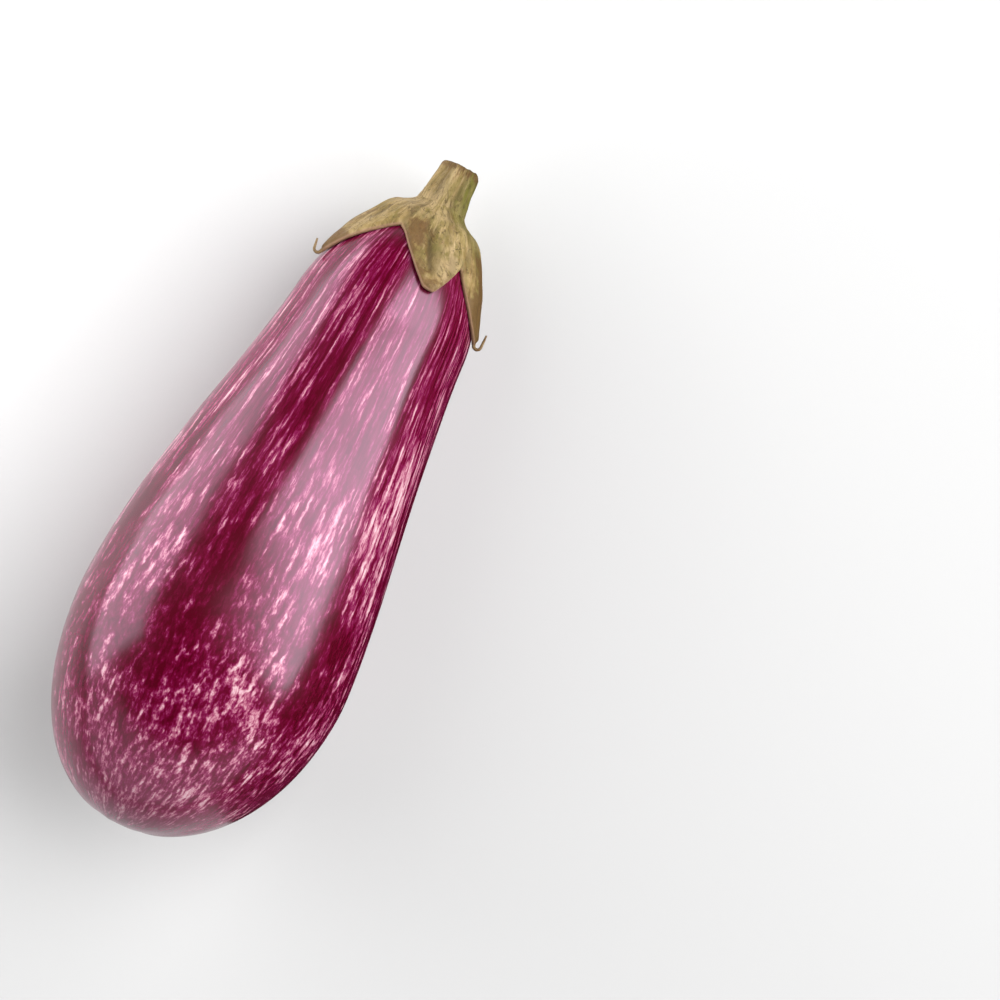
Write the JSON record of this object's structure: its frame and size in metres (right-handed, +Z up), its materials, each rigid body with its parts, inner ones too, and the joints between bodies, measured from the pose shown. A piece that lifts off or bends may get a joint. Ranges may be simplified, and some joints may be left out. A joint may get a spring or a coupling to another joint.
{
  "type": "eggplant",
  "caption": "Striped purple and white eggplant lying on its side, with a lobed calyx with hooked tips and a short cut stem.",
  "frame": {"origin": "in the middle of the flat rest spot on the belly, on the surface that the fruit lies on, below the centre of mass", "axes": "+X from the blossom end towards the stem along the surface, +Z up; the fruit's own axis droops 9.5 degrees towards the stem"},
  "size_m": [0.1921, 0.0757, 0.0772],
  "materials": {
    "skin": "smooth waxy fruit skin, dark magenta with many thin pale pink streaks along its length, glossy",
    "calyx": "leathery tan and olive sepals with brown scuffs, matt",
    "stem": "woody olive-green stalk with tan ribs and a brown dried cut end, matt"
  },
  "bodies": {
    "root": {"fruit": "skin", "calyx": "calyx", "stem": "stem"}
  },
  "joints": []
}
